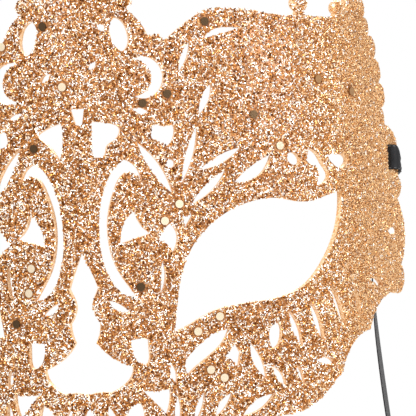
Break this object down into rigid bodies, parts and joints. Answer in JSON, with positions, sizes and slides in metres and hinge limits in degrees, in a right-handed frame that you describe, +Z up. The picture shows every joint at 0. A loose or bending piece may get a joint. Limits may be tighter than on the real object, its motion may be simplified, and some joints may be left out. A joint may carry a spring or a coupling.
{
  "type": "venetian masquerade mask",
  "caption": "Pierced lattice half mask with a tall crest and a glitter coat, tied behind the head by a black satin ribbon at each temple.",
  "frame": {"origin": "inner face of the nose bridge, on the middle line at the height of the eyes' tops", "axes": "+Z up as worn, the front faces -Y, +X to the viewer's right; left and right are as seen from the front"},
  "size_m": [0.2144, 0.0809, 0.3839],
  "materials": {
    "glitter_coat": "moulded plastic under a thick coat of champagne gold glitter",
    "black_satin": "black satin ribbon with stitched edges",
    "pale_sequin": "pale champagne sequin film",
    "dark_sequin": "bronze sequin film"
  },
  "bodies": {
    "shell": {"crest": "glitter_coat", "nose_bridge": "glitter_coat", "brow_right": "glitter_coat", "brow_left": "glitter_coat", "cheek_right": "glitter_coat", "cheek_left": "glitter_coat", "temple_right": "glitter_coat", "temple_left": "glitter_coat", "sequins_pale": "pale_sequin", "sequins_dark": "dark_sequin"},
    "loop_right": {"ribbon_loop_right": "black_satin", "ribbon_knot_right": "black_satin"},
    "tail_right": {"ribbon_tail_right": "black_satin"},
    "loop_left": {"ribbon_loop_left": "black_satin", "ribbon_knot_left": "black_satin"},
    "tail_left": {"ribbon_tail_left": "black_satin"}
  },
  "joints": [
    {"name": "loop_swivel_right", "type": "hinge", "parent": "shell", "child": "loop_right", "pos_m": [0.10028, 0.06514, 0.0092], "axis": [0, 0, 1], "range_deg": [-35, 18]},
    {"name": "tail_swing_right", "type": "hinge", "parent": "loop_right", "child": "tail_right", "pos_m": [0.10182, 0.07267, 0.0057], "axis": [1, 0, 0], "range_deg": [-2, 80]},
    {"name": "loop_swivel_left", "type": "hinge", "parent": "shell", "child": "loop_left", "pos_m": [-0.10028, 0.06514, 0.0092], "axis": [0, 0, 1], "range_deg": [-18, 35]},
    {"name": "tail_swing_left", "type": "hinge", "parent": "loop_left", "child": "tail_left", "pos_m": [-0.10182, 0.07267, 0.0057], "axis": [1, 0, 0], "range_deg": [-2, 80]}
  ]
}
